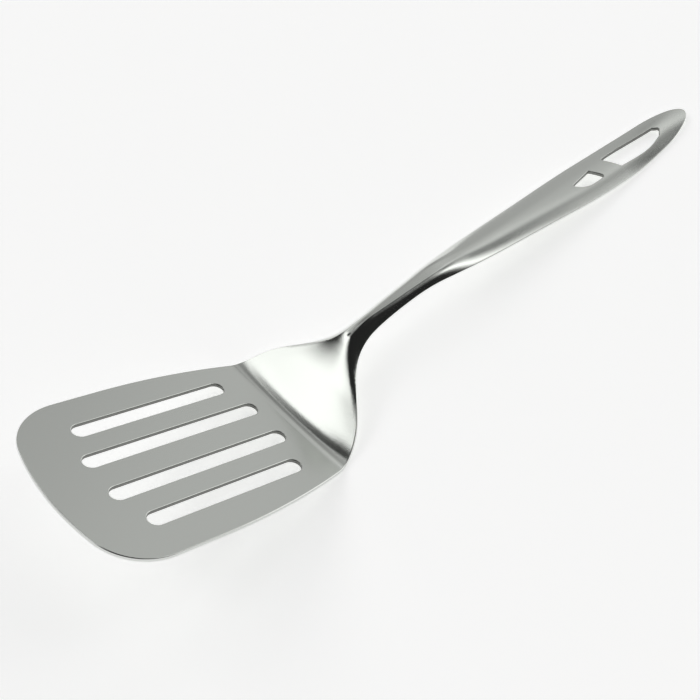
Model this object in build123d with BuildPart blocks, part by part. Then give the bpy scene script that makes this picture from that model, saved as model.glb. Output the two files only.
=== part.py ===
from build123d import *
from math import atan2, degrees
import os

os.makedirs("parts", exist_ok=True)

# A slotted kitchen turner, punched and pressed from one sheet of stainless steel.
# It is drawn with its blade flat: X runs from the blade to the handle, Z is up, and the
# heel, where the neck rises from the blade, is at the origin. It is then laid down as it
# comes to rest on a table, on the heel and the end of the handle, with the blade raised.

# the sheet
sheet = 1.8

# the blade, measured from the heel to the front
blade_length = 112.9
blade_width = 89.6
widest_place = 66.0
heel_width = 76.4
corner_radius = 24.0

# the four drain slots, an inner and an outer pair
slot_width = 7.3
slot_middle = 51.2
inner_slot_place = 9.6
inner_slot_length = 82.4
outer_slot_place = 26.6
outer_slot_length = 71.8

# the neck and handle, from the heel to the end of the handle, with the place before the
# heel where the bend starts and the place where the grip is widest
handle_reach = 222.8
handle_rise = 119.9
heel_place = 0.0193 * handle_reach
grip_width = 24.5
grip_place = 0.7383 * handle_reach

# the two openings in the grip: a leaf shape crossed by a slanting bar
leaf_place = 0.6706 * handle_reach
leaf_length = 56.3
leaf_width = 11.0
bar_place = leaf_place + 0.3535 * leaf_length
bar_width = 10.6
bar_slant = 25.0
opening_corner_radius = 0.9

# the line along the crown of the neck and handle: corners to be rounded off, each with its
# shares of the reach and the rise, and its rounding as a share of the reach
crown_shares = [
    (0.0, 0.0, 0.015),
    (0.070, 0.182, 0.014),
    (0.099, 0.293, 0.006),
    (0.135, 0.344, 0.018),
    (0.307, 0.507, 0.032),
    (0.407, 0.562, 0.048),
    (0.740, 0.777, 0.080),
    (0.845, 0.855, 0.056),
    (0.965, 0.972, 0.032),
    (1.060, 1.056, 0.0),
]

# the same for the line along the side edges, which hang lower than the crown
edge_shares = [
    (0.007, 0.0, 0.022),
    (0.124, 0.280, 0.024),
    (0.184, 0.362, 0.024),
    (0.276, 0.457, 0.032),
    (0.740, 0.757, 0.080),
    (0.845, 0.834, 0.056),
    (1.060, 1.041, 0.0),
]

# the arch from the crown down to the edges: a flat middle and two flanks with a rounded
# shoulder between them. Each row has its share of the reach, where the shoulder lies as a
# share of the half width, and over what share of it the shoulder is rounded each way.
shoulder_shares = [
    (0.0, 0.50, 0.50),
    (0.070, 0.50, 0.46),
    (0.080, 0.38, 0.34),
    (0.090, 0.26, 0.24),
    (0.100, 0.20, 0.20),
    (0.112, 0.26, 0.22),
    (0.126, 0.33, 0.28),
    (0.148, 0.38, 0.30),
    (0.196, 0.49, 0.30),
    (0.224, 0.56, 0.30),
    (0.280, 0.62, 0.30),
    (0.300, 0.62, 0.31),
    (0.328, 0.57, 0.40),
    (0.370, 0.50, 0.50),
    (1.060, 0.50, 0.50),
]

# the plan outline from the heel to the widest place of the grip: shares of the reach and
# of the heel's width
flare_shares = [
    (0.016, 0.459),
    (0.048, 0.372),
    (0.069, 0.276),
    (0.090, 0.175),
    (0.110, 0.108),
    (0.134, 0.076),
    (0.180, 0.065),
    (0.248, 0.067),
    (0.327, 0.090),
    (0.447, 0.119),
    (0.566, 0.138),
]

# the plan outline from there to the end: shares of the reach and of the grip's width
tip_shares = [
    (0.840, 0.479),
    (0.885, 0.438),
    (0.925, 0.391),
    (0.966, 0.275),
    (0.990, 0.142),
]

# the plan outline of the leaf, along its far side and then its near side: shares of its
# length and of its width
leaf_far_shares = [
    (0.24, 0.26),
    (0.44, 0.45),
    (0.74, 0.38),
    (0.97, 0.22),
]
leaf_near_shares = [
    (0.05, -0.27),
    (0.29, -0.42),
    (0.67, -0.50),
    (0.82, -0.48),
    (0.96, -0.28),
]


def rounded_rise(distance, half_length):
    """Height beyond a corner of unit slope that is rounded off over its half length."""
    if distance <= -half_length:
        return 0
    if distance >= half_length:
        return distance
    return (distance + half_length) ** 2 / (4 * half_length)


def line_height(x, corner_shares):
    """Height at x of the straight runs between rounded corners."""
    height = 0
    slope = 0
    for here, beyond in zip(corner_shares, corner_shares[1:]):
        run = (beyond[0] - here[0]) * handle_reach
        rise = (beyond[1] - here[1]) * handle_rise
        rounding = here[2] * handle_reach
        height += (rise / run - slope) * rounded_rise(x - here[0] * handle_reach, rounding)
        slope = rise / run
    return height


def shoulder_at(x):
    """Place and rounding of the shoulder at x, between the rows of the table."""
    share = max(x / handle_reach, 0)
    for here, beyond in zip(shoulder_shares, shoulder_shares[1:]):
        if share <= beyond[0]:
            part = (share - here[0]) / (beyond[0] - here[0])
            return [a + (b - a) * part for a, b in zip(here[1:], beyond[1:])]


def top_point(x, y, half_width):
    """Point of the top face at x and y, where the sheet is arched over its half width."""
    crown = line_height(x, crown_shares)
    drop = crown - line_height(x, edge_shares)
    shoulder, rounding = shoulder_at(x)
    fall = rounded_rise(abs(y) / half_width - shoulder, rounding)
    return Vector(x, y, crown - drop * fall / rounded_rise(1 - shoulder, rounding))


# the side edge of the neck and handle in plan, up to the widest place and then to the end
heel_corner = (-heel_place, heel_width / 2)
grip_corner = (grip_place, grip_width / 2)
flare_points = [(a * handle_reach, b * heel_width) for a, b in flare_shares]
tip_points = [(a * handle_reach, b * grip_width) for a, b in tip_shares]
with BuildLine() as side_edge:
    flare_line = Spline(
        heel_corner, *flare_points, grip_corner, tangents=[(1, -0.2), (1, 0)], tangent_scalars=[0.5, 1]
    )
    tip_line = Spline(
        grip_corner, *tip_points, (handle_reach, 0), tangents=[(1, 0), (0, -1)], tangent_scalars=[1, 1]
    )

# places along that edge for the cross-sections, close together at the heel and at the end
flare_rows = 60
tip_rows = 20
edge_places = [flare_line @ (row / flare_rows) ** 1.4 for row in range(flare_rows)]
edge_places += [tip_line @ (0.98 * (1 - (1 - row / tip_rows) ** 1.5)) for row in range(tip_rows + 1)]

# the top of each cross-section, arched over the grip's width, or over its own on the neck
column_shares = [share / 7 for share in range(-8, 9)]
middle = len(column_shares) // 2
grid = []
for place in edge_places:
    arch = place.Y if place.X < grip_place else grip_width / 2
    grid.append([top_point(place.X, a * place.Y, arch) for a in column_shares])
grid[-1] = [Vector(point.X, point.Y, grid[-1][middle].Z) for point in grid[-1]]

# the underside lies one sheet thickness from the top, square to it
outlines = []
under_sheet = []
for row, here in enumerate(grid):
    before = grid[max(row - 1, 0)]
    after = grid[min(row + 1, len(grid) - 1)]
    is_end = before is here or after is here
    top_points = here[1:-1]
    under_points = []
    for column, point in enumerate(top_points, start=1):
        pick = middle if is_end else column
        along = after[pick] - before[pick]
        across = here[pick + 1] - here[pick - 1]
        under_points.append(point - along.cross(across).normalized() * sheet)
    under_sheet += under_points
    top_edge = Edge.make_spline(top_points)
    far_edge = Edge.make_line(top_points[-1], under_points[-1])
    under_edge = Edge.make_spline(under_points[::-1])
    near_edge = Edge.make_line(under_points[0], top_points[0])
    outlines.append(Wire([top_edge, far_edge, under_edge, near_edge]))
arched_sheet = Solid.make_loft(outlines)

# the plane of the grip, through which its openings are punched
leaf_start = top_point(leaf_place, 0, grip_width / 2)
leaf_end = top_point(leaf_place + leaf_length, 0, grip_width / 2)
leaf_run = leaf_end - leaf_start
grip_plane = Plane(leaf_start, x_dir=leaf_run, z_dir=leaf_run.cross(Vector(0, 1, 0)))


def on_grip(x, y):
    """Place on the plane of the grip of the point of the sheet that lies at x and y in plan."""
    place = grip_plane.to_local_coords(top_point(x, y, grip_width / 2))
    return place.X, place.Y


far_points = [on_grip(leaf_place + a * leaf_length, b * leaf_width) for a, b in leaf_far_shares]
near_points = [on_grip(leaf_place + a * leaf_length, b * leaf_width) for a, b in leaf_near_shares]
bar_point = on_grip(bar_place, 0)

with BuildPart() as flat_turner:
    # the blade, flat, with its rounded front corners and its slots
    with BuildSketch() as blade:
        with BuildLine():
            side_arc = TangentArc((-widest_place, blade_width / 2), heel_corner, tangent=(1, 0))
            corner = (-((blade_length**2 - blade_width**2 / 4) ** 0.5), blade_width / 2)
            Line(corner, side_arc @ 0)
            RadiusArc((-blade_length, 0), corner, blade_length)
            Line(heel_corner, (-heel_place, 0))
            Line((-heel_place, 0), (-blade_length, 0))
        make_face()
        fillet(blade.vertices().group_by(Axis.Y)[-1].sort_by(Axis.X)[0], corner_radius)
        mirror(about=Plane.XZ)
        with Locations((-slot_middle, inner_slot_place), (-slot_middle, -inner_slot_place)):
            SlotOverall(inner_slot_length, slot_width, mode=Mode.SUBTRACT)
        with Locations((-slot_middle, outer_slot_place), (-slot_middle, -outer_slot_place)):
            SlotOverall(outer_slot_length, slot_width, mode=Mode.SUBTRACT)
    extrude(amount=-sheet)
    # the heel bend, neck and handle
    add(arched_sheet)
    # the two openings
    with BuildSketch(grip_plane) as openings:
        with BuildLine():
            Spline((0, 0), *far_points)
            Spline((0, 0), *near_points)
            ThreePointArc(far_points[-1], on_grip(leaf_place + leaf_length, 0), near_points[-1])
        make_face()
        with Locations((bar_point[0], 0)):
            Rectangle(bar_width, grip_width, rotation=bar_slant, mode=Mode.SUBTRACT)
        fillet(openings.vertices(), opening_corner_radius)
    extrude(amount=handle_rise / 4, both=True, mode=Mode.SUBTRACT)

# the lean at which the heel and the handle touch the table together
heel_points = [point for point in under_sheet if point.X < handle_reach / 4]
handle_points = [point for point in under_sheet if point.X > handle_reach * 3 / 4]
lean = max(
    min(degrees(atan2(far.Z - near.Z, far.X - near.X)) for far in handle_points) for near in heel_points
)

# the turner at rest, with the origin under the middle of it
leaning_turner = flat_turner.part.rotate(Axis.Y, lean)
extent = leaning_turner.bounding_box()
with BuildPart() as turner_pressing:
    add(leaning_turner.moved(Location((-extent.center().X, -extent.center().Y, -extent.min.Z))))
turner_pressing.part.label = "turner_pressing"
export_step(turner_pressing.part, "parts/turner_pressing.step")
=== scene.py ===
import math

import bpy
import numpy as np
from mathutils import Matrix, Vector
from mathutils.geometry import delaunay_2d_cdt


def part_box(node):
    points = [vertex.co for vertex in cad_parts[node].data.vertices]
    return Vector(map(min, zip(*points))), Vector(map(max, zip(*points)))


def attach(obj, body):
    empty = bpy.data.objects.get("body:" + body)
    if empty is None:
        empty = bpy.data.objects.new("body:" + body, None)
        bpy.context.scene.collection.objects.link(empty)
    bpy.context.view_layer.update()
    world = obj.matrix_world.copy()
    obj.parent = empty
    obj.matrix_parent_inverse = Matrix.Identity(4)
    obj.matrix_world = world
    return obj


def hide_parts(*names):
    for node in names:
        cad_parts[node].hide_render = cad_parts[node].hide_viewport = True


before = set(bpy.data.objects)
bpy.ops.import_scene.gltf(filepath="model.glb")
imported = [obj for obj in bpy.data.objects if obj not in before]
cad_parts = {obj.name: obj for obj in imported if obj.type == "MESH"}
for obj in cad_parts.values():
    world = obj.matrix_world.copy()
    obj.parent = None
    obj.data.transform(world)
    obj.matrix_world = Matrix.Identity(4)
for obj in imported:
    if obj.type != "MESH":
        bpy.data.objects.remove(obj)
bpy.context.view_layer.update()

# The turner is one sheet of stainless steel, punched to its outline, slots and openings and
# then pressed: a flat blade, a bend at the heel, a plate that narrows to a neck with steep
# flanks, and an arched grip. Nothing is fixed to it.

# sizes in millimetres, with the blade flat, the heel at the origin and X towards the handle
mm = 0.001
sheet = 1.8
edge_round = 0.4
blade_length = 112.9
blade_width = 89.6
widest_place = 66.0
heel_width = 76.4
heel_place = 4.3
corner_radius = 24.0
slot_width = 7.3
slot_middle = 51.2
slots = [(9.6, 82.4), (-9.6, 82.4), (26.6, 71.8), (-26.6, 71.8)]
handle_reach = 222.8
handle_rise = 119.9
grip_width = 24.5
grip_place = 164.5
leaf_place = 149.4
leaf_length = 56.3
leaf_width = 11.0
bar_place = 169.3
bar_width = 10.6
bar_slant = 25.0
opening_corner_radius = 0.9

# how far the blade is tipped up when the turner rests on its heel and its grip
lean = math.radians(27.953)

# the line along the crown of the neck and handle: corners to be rounded off, each with its
# shares of the reach and the rise, and its rounding as a share of the reach
crown_shares = [
    (0.0, 0.0, 0.015),
    (0.070, 0.182, 0.014),
    (0.099, 0.293, 0.006),
    (0.135, 0.344, 0.018),
    (0.307, 0.507, 0.032),
    (0.407, 0.562, 0.048),
    (0.740, 0.777, 0.080),
    (0.845, 0.855, 0.056),
    (0.965, 0.972, 0.032),
    (1.060, 1.056, 0.0),
]

# the same for the line along the side edges, which hang lower than the crown
edge_shares = [
    (0.007, 0.0, 0.022),
    (0.124, 0.280, 0.024),
    (0.184, 0.362, 0.024),
    (0.276, 0.457, 0.032),
    (0.740, 0.757, 0.080),
    (0.845, 0.834, 0.056),
    (1.060, 1.041, 0.0),
]

# the arch from the crown down to the edges: each row has its share of the reach, where the
# shoulder lies as a share of the half width, and over what share of it the shoulder is rounded
shoulder_shares = [
    (0.0, 0.50, 0.50),
    (0.070, 0.50, 0.46),
    (0.080, 0.38, 0.34),
    (0.090, 0.26, 0.24),
    (0.100, 0.20, 0.20),
    (0.112, 0.26, 0.22),
    (0.126, 0.33, 0.28),
    (0.148, 0.38, 0.30),
    (0.196, 0.49, 0.30),
    (0.224, 0.56, 0.30),
    (0.280, 0.62, 0.30),
    (0.300, 0.62, 0.31),
    (0.328, 0.57, 0.40),
    (0.370, 0.50, 0.50),
    (1.060, 0.50, 0.50),
]

# the side edge in plan from the heel to the widest place of the grip: shares of the reach and
# of the heel's width
flare_shares = [
    (0.016, 0.459),
    (0.048, 0.372),
    (0.069, 0.276),
    (0.090, 0.175),
    (0.110, 0.108),
    (0.134, 0.076),
    (0.180, 0.065),
    (0.248, 0.067),
    (0.327, 0.090),
    (0.447, 0.119),
    (0.566, 0.138),
]

# the side edge in plan from there to the end: shares of the reach and of the grip's width
tip_shares = [
    (0.840, 0.479),
    (0.885, 0.438),
    (0.925, 0.391),
    (0.966, 0.275),
    (0.990, 0.142),
]

# the leaf that the openings leave, along its far side and then its near side: shares of its
# length and of its width
leaf_far_shares = [(0.24, 0.26), (0.44, 0.45), (0.74, 0.38), (0.97, 0.22)]
leaf_near_shares = [(0.05, -0.27), (0.29, -0.42), (0.67, -0.50), (0.82, -0.48), (0.96, -0.28)]


def rounded_rise(distance, half_length):
    """Height beyond a corner of unit slope that is rounded off over its half length."""
    share = np.clip((distance + half_length) / (2 * half_length), 0, 1)
    return np.where(distance > half_length, distance, half_length * share**2)


def line_height(x, corner_shares):
    """Height at x of the straight runs between rounded corners."""
    height, slope = np.zeros_like(x), 0
    for here, beyond in zip(corner_shares, corner_shares[1:]):
        next_slope = (beyond[1] - here[1]) * handle_rise / ((beyond[0] - here[0]) * handle_reach)
        past = x - here[0] * handle_reach
        height += (next_slope - slope) * rounded_rise(past, here[2] * handle_reach)
        slope = next_slope
    return height


def smooth_curve(points, start=None, end=None, step=0.5):
    """Even points on the curve of least bending through the given ones, with unit end tangents."""
    points = np.array(points, float)
    knots = np.concatenate([[0], np.cumsum(np.linalg.norm(np.diff(points, axis=0), axis=1))])
    gaps = np.diff(knots)
    count = len(points)
    matrix, right = np.zeros((count, count)), np.zeros((count, 2))
    for i in range(1, count - 1):
        matrix[i, i - 1 : i + 2] = gaps[i], 2 * (gaps[i - 1] + gaps[i]), gaps[i - 1]
        right[i] = 3 * (
            gaps[i] * (points[i] - points[i - 1]) / gaps[i - 1]
            + gaps[i - 1] * (points[i + 1] - points[i]) / gaps[i]
        )
    for i, j, tangent in ((0, 1, start), (count - 1, count - 2, end)):
        matrix[i, i] = 1 if tangent is not None else 2
        if tangent is not None:
            right[i] = np.array(tangent, float) / np.linalg.norm(tangent)
        else:
            matrix[i, j] = 1
            right[i] = 3 * (points[j] - points[i]) / (gaps[0] if i == 0 else -gaps[-1])
    slopes = np.linalg.solve(matrix, right)
    places = np.linspace(0, knots[-1], max(int(knots[-1] / step), 8) + 1)
    k = np.clip(np.searchsorted(knots, places, side="right") - 1, 0, count - 2)
    h = gaps[k][:, None]
    t = (places - knots[k])[:, None] / h
    return (
        (2 * t**3 - 3 * t**2 + 1) * points[k]
        + (t**3 - 2 * t**2 + t) * h * slopes[k]
        + (3 * t**2 - 2 * t**3) * points[k + 1]
        + (t**3 - t**2) * h * slopes[k + 1]
    )


def arc(centre, radius, start, stop, step=0.8):
    """Points on an arc between two angles in degrees."""
    count = max(int(abs(math.radians(stop - start)) * radius / step), 6)
    angles = np.radians(np.linspace(start, stop, count + 1))
    return np.array(centre) + radius * np.stack([np.cos(angles), np.sin(angles)], 1)


def joined(*runs):
    """One list of points from runs that share their end points."""
    points = np.concatenate([np.array(run, float) for run in runs])
    keep = np.linalg.norm(points - np.roll(points, 1, axis=0), axis=1) > 1e-4
    return points[keep]


# the side edge in plan, which also gives the width over which the sheet is arched; it ends a
# hair short of the solid's
tip_reach = 0.9985 * handle_reach
flare_curve = smooth_curve(
    [(-heel_place, heel_width / 2)]
    + [(a * handle_reach, b * heel_width) for a, b in flare_shares]
    + [(grip_place, grip_width / 2)],
    start=(1, -0.2),
    end=(1, 0),
)
tip_curve = smooth_curve(
    [(grip_place, grip_width / 2)]
    + [(a * handle_reach, b * grip_width) for a, b in tip_shares]
    + [(tip_reach, 0)],
    start=(1, 0),
    end=(0, -1),
)


# where the shoulder of the arch lies and how far it is rounded, eased from row to row
eased_margin = 12
eased_step = 0.25
shoulder_x = np.arange(-eased_margin, handle_reach + eased_margin, eased_step)
window = np.ones(9) / 9


def eased(column):
    """Values along the turner of that column of the shoulder's table."""
    rows = np.array(shoulder_shares)
    values = np.interp(shoulder_x / handle_reach, rows[:, 0], rows[:, column])
    return np.convolve(np.convolve(values, window, "same"), window, "same")


shoulder_place = eased(1)
shoulder_round = eased(2)


def sheet_height(x, y):
    """Height of the top face at points in plan."""
    crown = line_height(x, crown_shares)
    drop = crown - line_height(x, edge_shares)
    arch = np.interp(x, flare_curve[:, 0], flare_curve[:, 1])
    shoulder = np.interp(x, shoulder_x, shoulder_place)
    rounding = np.interp(x, shoulder_x, shoulder_round)
    fall = rounded_rise(np.abs(y) / arch - shoulder, rounding)
    return crown - drop * fall / rounded_rise(1 - shoulder, rounding)


def top_of_sheet(x, y):
    """Height and upward normal of the top face at points in plan."""
    gap = 0.04
    along = (sheet_height(x + gap, y) - sheet_height(x - gap, y)) / (2 * gap)
    across = (sheet_height(x, y + gap) - sheet_height(x, y - gap)) / (2 * gap)
    normal = np.stack([-along, -across, np.ones_like(x)], 1)
    return sheet_height(x, y), normal / np.linalg.norm(normal, axis=1)[:, None]


# the outline, along the far side from the front to the end of the handle, then back
long_step = 1.5
fillet_y = blade_width / 2 - corner_radius
fillet_x = -math.sqrt((blade_length - corner_radius) ** 2 - fillet_y**2)
fillet_angle = math.degrees(math.atan2(fillet_y, fillet_x))
side_drop = (blade_width - heel_width) / 2
side_run = widest_place - heel_place
side_radius = (side_run**2 + side_drop**2) / (2 * side_drop)
side_angle = math.degrees(math.asin(side_run / side_radius))
far_side = joined(
    arc((0, 0), blade_length, 180, fillet_angle, long_step),
    arc((fillet_x, fillet_y), corner_radius, fillet_angle, 90),
    arc((-widest_place, blade_width / 2 - side_radius), side_radius, 90, 90 - side_angle, long_step),
    flare_curve,
    tip_curve,
)
outer_loop = joined(far_side * (1, -1), far_side[-2:0:-1])


def slot_loop(place, length):
    """Outline of a slot with round ends, clockwise."""
    radius = slot_width / 2
    run = length / 2 - radius
    step = 0.4
    heel_end = arc((-slot_middle + run, place), radius, 90, -90, step)
    front_end = arc((-slot_middle - run, place), radius, 270, 90, step)
    return joined(heel_end, front_end)


def on_grip(x, y):
    """Places along the plane of the grip of points in plan."""
    x, y = np.array(x, float), np.array(y, float)
    height, _ = top_of_sheet(np.atleast_1d(x), np.atleast_1d(y))
    return (x - leaf_place) * grip_cos + (height - leaf_height) * grip_sin


def off_grip(places, y):
    """The reverse: where in plan the points are that lie at those places along the grip."""
    x = leaf_place + places * grip_cos
    for _ in range(8):
        x = x + (places - on_grip(x, y)) * grip_cos
    return x


def round_corners(loop, radius, sharp_turn=math.radians(25), step=0.5):
    """Rounds the sharp corners of a closed loop of points."""
    ahead = np.roll(loop, -1, axis=0) - loop
    behind = loop - np.roll(loop, 1, axis=0)
    turn = np.arctan2(
        behind[:, 0] * ahead[:, 1] - behind[:, 1] * ahead[:, 0], (behind * ahead).sum(1)
    )
    corners = [i for i in range(len(loop)) if abs(turn[i]) > sharp_turn]
    rounded = []
    for n, i in enumerate(corners):
        reach = radius * math.tan(abs(turn[i]) / 2)
        j = corners[(n + 1) % len(corners)]
        run = [loop[k % len(loop)] for k in range(i, j + 1 if j > i else j + len(loop) + 1)]
        next_reach = radius * math.tan(abs(turn[j]) / 2)
        run = np.array(run)
        along = np.concatenate([[0], np.cumsum(np.linalg.norm(np.diff(run, axis=0), axis=1))])
        places = np.linspace(reach, along[-1] - next_reach, max(int(along[-1] / step), 3))
        run = np.stack([np.interp(places, along, run[:, c]) for c in (0, 1)], 1)
        rounded.append((run, j))
    points = []
    for n, (run, j) in enumerate(rounded):
        next_run = rounded[(n + 1) % len(rounded)][0]
        t = np.linspace(0, 1, 6)[1:-1, None]
        bend = (1 - t) ** 2 * run[-1] + 2 * t * (1 - t) * loop[j] + t**2 * next_run[0]
        points += [run, bend]
    return np.concatenate(points)


def clip(loop, point, direction):
    """The part of a closed loop that lies on the side of a line that the direction points to."""
    side = (loop - point) @ direction
    kept = []
    for i in range(len(loop)):
        j = (i + 1) % len(loop)
        if side[i] >= 0:
            kept.append(loop[i])
        if (side[i] >= 0) != (side[j] >= 0):
            kept.append(loop[i] + (loop[j] - loop[i]) * side[i] / (side[i] - side[j]))
    return np.array(kept)


# the two openings: the leaf, laid in the plane of the grip, with the bar taken out of it
leaf_ends = np.array([leaf_place, leaf_place + leaf_length])
leaf_heights, _ = top_of_sheet(leaf_ends, np.zeros(2))
leaf_height = leaf_heights[0]
grip_slope = math.atan2(leaf_heights[1] - leaf_heights[0], leaf_length)
grip_cos, grip_sin = math.cos(grip_slope), math.sin(grip_slope)
leaf_far, leaf_near = (
    np.array([(leaf_place, 0)] + [(leaf_place + a * leaf_length, b * leaf_width) for a, b in shares])
    for shares in (leaf_far_shares, leaf_near_shares)
)
for side in (leaf_far, leaf_near):
    side[:, 0] = on_grip(side[:, 0], side[:, 1])
leaf_tip = (on_grip(leaf_ends[1:], [0])[0], 0)
end_curve = smooth_curve([leaf_far[-1], leaf_tip, leaf_near[-1]], start=(0.2, -1), end=(-0.2, -1))
leaf = joined(smooth_curve(leaf_far), end_curve, smooth_curve(leaf_near)[::-1])
slant = math.radians(bar_slant)
across_bar = np.array([math.cos(slant), math.sin(slant)])
bar_middle = np.array([on_grip([bar_place], [0])[0], 0])
opening_loops = []
for sign in (1, -1):
    part = clip(leaf, bar_middle + sign * across_bar * bar_width / 2, sign * across_bar)
    part = round_corners(part, opening_corner_radius)
    opening_loops.append(np.stack([off_grip(part[:, 0], part[:, 1]), part[:, 1]], 1))
inner_loops = [slot_loop(*slot) for slot in slots] + opening_loops

# the rolled edge round each loop: from the top face, down the cut wall, to the underside
vertices, normals, faces, finishes = [], [], [], []
face_finish, cut_shaded_finish, outer_finish = range(3)
inset_loops = []
quarter = np.radians(np.linspace(0, 90, 5))
ring_count = 2 * len(quarter) - 1
wall_ring = ring_count // 2
wall_reach = 2
for loop in [outer_loop] + inner_loops:
    height, up = top_of_sheet(loop[:, 0], loop[:, 1])
    edge = np.column_stack([loop, height])
    run = np.roll(edge, -1, axis=0) - np.roll(edge, 1, axis=0)
    out = np.cross(run, up)
    out /= np.linalg.norm(out, axis=1)[:, None]
    first = len(vertices)
    for depth, angles in ((edge_round, quarter), (sheet - edge_round, quarter + math.pi / 2)):
        for angle in angles:
            ray = math.sin(angle) * out + math.cos(angle) * up
            vertices.extend(edge - edge_round * out - depth * up + edge_round * ray)
            normals.extend(ray)
    count = len(loop)
    inset_loops.append((first, count))
    # the walls of the slots and openings take the punched steel, whose darker colour is painted shade
    wall_finish = outer_finish if loop is outer_loop else cut_shaded_finish
    for ring in range(ring_count):
        for i in range(count):
            j = (i + 1) % count
            a = first + ring * count
            faces.append((a + i, a + count + i, a + count + j, a + j))
            finishes.append(wall_finish if abs(ring - wall_ring) <= wall_reach else face_finish)

# the top face between those edges, with rows of points along the bend, neck and grip
flat_points = np.array(vertices)[:, :2]
loop_points, loop_edges, loop_ids = [], [], []
for first, count in inset_loops:
    start = len(loop_points)
    loop_points.extend(flat_points[first : first + count])
    loop_ids.extend((first + i, first + ring_count * count + i) for i in range(count))
    loop_edges.extend((start + i, start + (i + 1) % count) for i in range(count))
bend_start, bend_end, neck_end, rows_end = -4.2, 6, 48, 0.985 * handle_reach
bend_step, neck_step, grip_step = 0.35, 0.9, 1.6
row_places = np.concatenate(
    [
        np.arange(bend_start, bend_end, bend_step),
        np.arange(bend_end, neck_end, neck_step),
        np.arange(neck_end, rows_end, grip_step),
    ]
)
side_x = np.concatenate([flare_curve[:, 0], tip_curve[1:, 0]])
side_y = np.concatenate([flare_curve[:, 1], tip_curve[1:, 1]])
column_shares = np.linspace(-0.93, 0.93, 23)
inner_points = np.array(
    [(x, share * np.interp(x, side_x, side_y)) for x in row_places for share in column_shares]
)
least_gap = 0.12


def inside(points, loops):
    """Whether each point lies inside an odd number of the loops."""
    odd = np.zeros(len(points), bool)
    for loop in loops:
        after = np.roll(loop, -1, axis=0)
        for (x0, y0), (x1, y1) in zip(loop, after):
            crosses = (y0 > points[:, 1]) != (y1 > points[:, 1])
            if y0 != y1:
                odd ^= crosses & (points[:, 0] < x0 + (points[:, 1] - y0) * (x1 - x0) / (y1 - y0))
    return odd


loop_points = np.array(loop_points)
polygons = [flat_points[first : first + count] for first, count in inset_loops]
nearest = np.array([np.min(np.sum((loop_points - p) ** 2, 1)) for p in inner_points]) ** 0.5
inner_points = inner_points[inside(inner_points, polygons) & (nearest > least_gap)]
heights, ups = top_of_sheet(inner_points[:, 0], inner_points[:, 1])
tops = np.column_stack([inner_points, heights])
for place, up in zip(tops, ups):
    loop_ids.append((len(vertices), len(vertices) + 1))
    vertices.extend([place, place - sheet * up])
    normals.extend([up, -up])
plan = [Vector(p) for p in np.concatenate([loop_points, inner_points])]
touching = 1e-7
found = delaunay_2d_cdt(plan, loop_edges, [], 0, touching)
triangles = np.array([face for face in found[2] if len(face) == 3])
middles = np.array([[*v] for v in found[0]])[triangles].mean(1)
for a, b, c in triangles[inside(middles, polygons)]:
    ids = [loop_ids[found[3][k][0]] for k in (a, b, c)]
    faces.append(tuple(top for top, _ in ids))
    faces.append(tuple(under for _, under in reversed(ids)))
    finishes += [face_finish, face_finish]

# lay it down as it rests, where the solid is
vertices, normals = np.array(vertices), np.array(normals)
turn = np.array(
    [[math.cos(lean), 0, math.sin(lean)], [0, 1, 0], [-math.sin(lean), 0, math.cos(lean)]]
)
vertices, normals = vertices @ turn.T * mm, normals @ turn.T
cad_low, cad_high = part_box("turner_pressing")
low, high = vertices.min(0), vertices.max(0)
shift = np.array([(cad_low.x + cad_high.x - low[0] - high[0]) / 2, 0, cad_low.z - low[2]])
vertices += shift

mesh = bpy.data.meshes.new("turner")
mesh.from_pydata(vertices.tolist(), [], faces)
mesh.shade_smooth()
mesh.normals_split_custom_set_from_vertices(normals.tolist())
mesh.polygons.foreach_set("material_index", finishes)
turner = bpy.data.objects.new("turner", mesh)
bpy.context.collection.objects.link(turner)


def linear_colour(code):
    """Scene-linear colour from an sRGB hex code."""
    channels = [int(code[i : i + 2], 16) / 255 for i in (1, 3, 5)]
    return (*[c / 12.92 if c <= 0.04045 else ((c + 0.055) / 1.055) ** 2.4 for c in channels], 1.0)


def add_node(tree, kind, inputs=None, **settings):
    """Adds a shader node with its settings; an input takes a value, or a socket to link from."""
    node = tree.nodes.new(kind)
    for name, value in settings.items():
        setattr(node, name, value)
    for name, value in (inputs or {}).items():
        if isinstance(value, bpy.types.NodeSocket):
            tree.links.new(value, node.inputs[name])
        else:
            node.inputs[name].default_value = value
    return node


def new_material(name):
    """A material with no nodes yet."""
    material = bpy.data.materials.new(name)
    material.use_nodes = True
    material.node_tree.nodes.clear()
    return material


# satin stainless steel, tumbled: it mirrors the room softly and without a direction, a little
# sharper or duller from place to place. The true grain is finer: this is as coarse as it has
# to be to show.
grain_width = 0.385
cloud_width = 36
satin = new_material("satin_stainless_steel")
tree = satin.node_tree
place = add_node(tree, "ShaderNodeTexCoord").outputs["Object"]
grain = add_node(
    tree, "ShaderNodeTexNoise", {"Vector": place, "Scale": 1 / (grain_width * mm), "Detail": 2.0}
)
cloud = add_node(
    tree, "ShaderNodeTexNoise", {"Vector": place, "Scale": 1 / (cloud_width * mm), "Detail": 3.0}
)
rough = add_node(
    tree,
    "ShaderNodeMapRange",
    {"Value": cloud.outputs["Fac"], "From Min": 0.3, "From Max": 0.7, "To Min": 0.145, "To Max": 0.175},
)
bump = add_node(
    tree, "ShaderNodeBump", {"Strength": 0.5, "Distance": 0.04 * mm, "Height": grain.outputs["Fac"]}
)
steel = add_node(
    tree,
    "ShaderNodeBsdfPrincipled",
    {
        "Base Color": linear_colour("#D3D6D1"),
        "Metallic": 1.0,
        "Roughness": rough.outputs["Result"],
        "Normal": bump.outputs["Normal"],
    },
)
add_node(tree, "ShaderNodeOutputMaterial", {"Surface": steel.outputs["BSDF"]})
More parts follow.
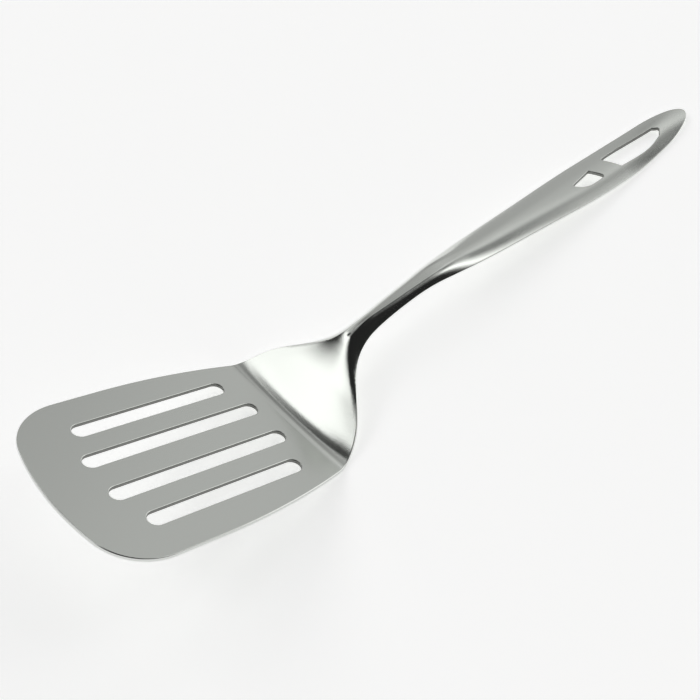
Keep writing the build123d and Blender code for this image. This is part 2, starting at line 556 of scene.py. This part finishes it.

# steel as the punch leaves it on the walls of the slots and openings: dull and torn, and given a darker
# colour that is painted shade, for the shade these walls would mirror from under the blade
tear_width = 0.55
shaded_sheared_steel = new_material("sheared_steel_edge_painted_shade")
tree = shaded_sheared_steel.node_tree
place = add_node(tree, "ShaderNodeTexCoord").outputs["Object"]
tears = add_node(
    tree, "ShaderNodeTexNoise", {"Vector": place, "Scale": 1 / (tear_width * mm), "Detail": 4.0}
)
bump = add_node(
    tree, "ShaderNodeBump", {"Strength": 0.8, "Distance": 0.2 * mm, "Height": tears.outputs["Fac"]}
)
steel = add_node(
    tree,
    "ShaderNodeBsdfPrincipled",
    {
        "Base Color": linear_colour("#858683"),
        "Metallic": 1.0,
        "Roughness": 0.45,
        "Normal": bump.outputs["Normal"],
    },
)
add_node(tree, "ShaderNodeOutputMaterial", {"Surface": steel.outputs["BSDF"]})

# polished steel, on the outer edge, which is ground so that it doesn't cut: bright and sharp
polished = new_material("polished_steel_edge")
tree = polished.node_tree
steel = add_node(
    tree,
    "ShaderNodeBsdfPrincipled",
    {"Base Color": linear_colour("#D9DBD8"), "Metallic": 1.0, "Roughness": 0.12},
)
add_node(tree, "ShaderNodeOutputMaterial", {"Surface": steel.outputs["BSDF"]})
for material in (satin, shaded_sheared_steel, polished):
    mesh.materials.append(material)

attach(turner, "root")
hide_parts("turner_pressing")

# The table is a plain sheet of translucent white plastic, lit from below as well as by the
# room, so that it comes out nearly white and shadows stay faint on it.
table_width = 4.0
bpy.ops.mesh.primitive_plane_add(size=table_width, location=(0, 0, 0))
table = bpy.context.object
table.name = "table"

# opal plastic with a matt face: white, with a glow of its own and no highlights
backlit = new_material("backlit_white_plastic")
tree = backlit.node_tree
plastic = add_node(
    tree,
    "ShaderNodeBsdfPrincipled",
    {
        "Base Color": linear_colour("#F2F2F1"),
        "Roughness": 0.9,
        "Emission Color": linear_colour("#FFFFFF"),
        "Emission Strength": 0.56,
    },
)
add_node(tree, "ShaderNodeOutputMaterial", {"Surface": plastic.outputs["BSDF"]})
table.data.materials.append(backlit)

# The studio is bright all round, with flags that darken parts of it and one lamp, all soft
# and far off. Each is there for what the steel mirrors of it, as its comment says.
world = bpy.data.worlds.new("studio")
bpy.context.scene.world = world
world.use_nodes = True
tree = world.node_tree
tree.nodes.clear()
ray = add_node(tree, "ShaderNodeTexCoord").outputs["Generated"]
base_light = 1.6
least_light = 0.02

# flags and a lamp: direction with the blade flat, the angles from it at which each is full
# and at which it has faded, and what it adds to the light
light_patches = [
    # the ceiling, in the blade and the far side of the handle
    ((0.24, 0.65, 0.72), 27, 39, -0.71),
    # in the heel's bend
    ((-0.56, 0.46, 0.69), 9, 14, -1.25),
    # the near side of the room, in the near flank of the neck
    ((-0.44, -0.90, -0.02), 62, 84, -1.60),
    # low on the far side, in the top of the plate and the far flank of the neck
    ((-0.25, 0.55, -0.80), 50, 78, -2.90),
    # overhead, in the crest of the neck and the near side of the handle's end
    ((-0.06, -0.01, 1.00), 12, 26, -1.00),
    # in the near side of the grip
    ((0.38, -0.04, 0.92), 8, 17, -0.75),
    # beyond the handle, in the blade and the far side of the handle
    ((0.84, 0.46, 0.29), 41, 52, -0.30),
    # between the ceiling and the heel's flag
    ((-0.05, 0.68, 0.73), 15, 23, -0.31),
    # the lamp, along the near side of the handle
    ((0.26, -0.27, 0.93), 7, 14, 0.40),
    # high on the far side, faint
    ((0.02, 0.93, 0.37), 31, 40, -0.09),
    # in the near end of the heel's bend
    ((-0.65, 0.36, 0.67), 5, 12, -0.50),
    # in the start of the heel's bend
    ((-0.38, 0.47, 0.80), 3, 12, -0.45),
    ((-0.20, 0.50, 0.84), 4, 14, -0.25),
    # in the fold between the plate and the near flank of the neck
    ((-0.40, 0.05, 0.91), 14, 24, -1.20),
]
total = base_light
for direction, full, faded, strength in light_patches:
    axis = Vector(turn @ np.array(direction)).normalized()
    facing = add_node(tree, "ShaderNodeVectorMath", {0: ray, 1: axis}, operation="DOT_PRODUCT")
    patch = add_node(
        tree,
        "ShaderNodeMapRange",
        {
            "Value": facing.outputs["Value"],
            "From Min": math.cos(math.radians(faded)),
            "From Max": math.cos(math.radians(full)),
            "To Max": strength,
        },
        interpolation_type="SMOOTHSTEP",
    )
    total = add_node(tree, "ShaderNodeMath", {0: total, 1: patch.outputs["Result"]}, operation="ADD")
    total = total.outputs["Value"]
total = add_node(tree, "ShaderNodeMath", {0: total, 1: least_light}, operation="MAXIMUM")
sky = add_node(
    tree,
    "ShaderNodeBackground",
    {"Color": linear_colour("#FFFFFF"), "Strength": total.outputs["Value"]},
)
add_node(tree, "ShaderNodeOutputWorld", {"Surface": sky.outputs["Background"]})

# The camera stands and looks as in the photo. Its place is in millimetres and its turn is
# given by the picture's right and down, both with the blade flat.
camera_place = np.array([-279.3, -249.2, 282.9])
right = np.array([0.7264, -0.6431, 0.2428])
down = np.array([-0.2221, -0.5538, -0.8026])
camera_data = bpy.data.cameras.new("camera")
camera_data.sensor_width = 36.0
camera_data.lens = 57.0
camera_data.clip_start = 0.01
camera = bpy.data.objects.new("camera", camera_data)
bpy.context.collection.objects.link(camera)
right = turn @ (right / np.linalg.norm(right))
down = turn @ down
down -= right * (right @ down)
down /= np.linalg.norm(down)
back = np.cross(right, -down)
camera.matrix_world = Matrix.Translation(turn @ camera_place * mm + shift) @ Matrix(
    np.column_stack([right, -down, back]).tolist()
).to_4x4()
bpy.context.scene.camera = camera

# whites come out white
bpy.context.scene.view_settings.view_transform = "Standard"
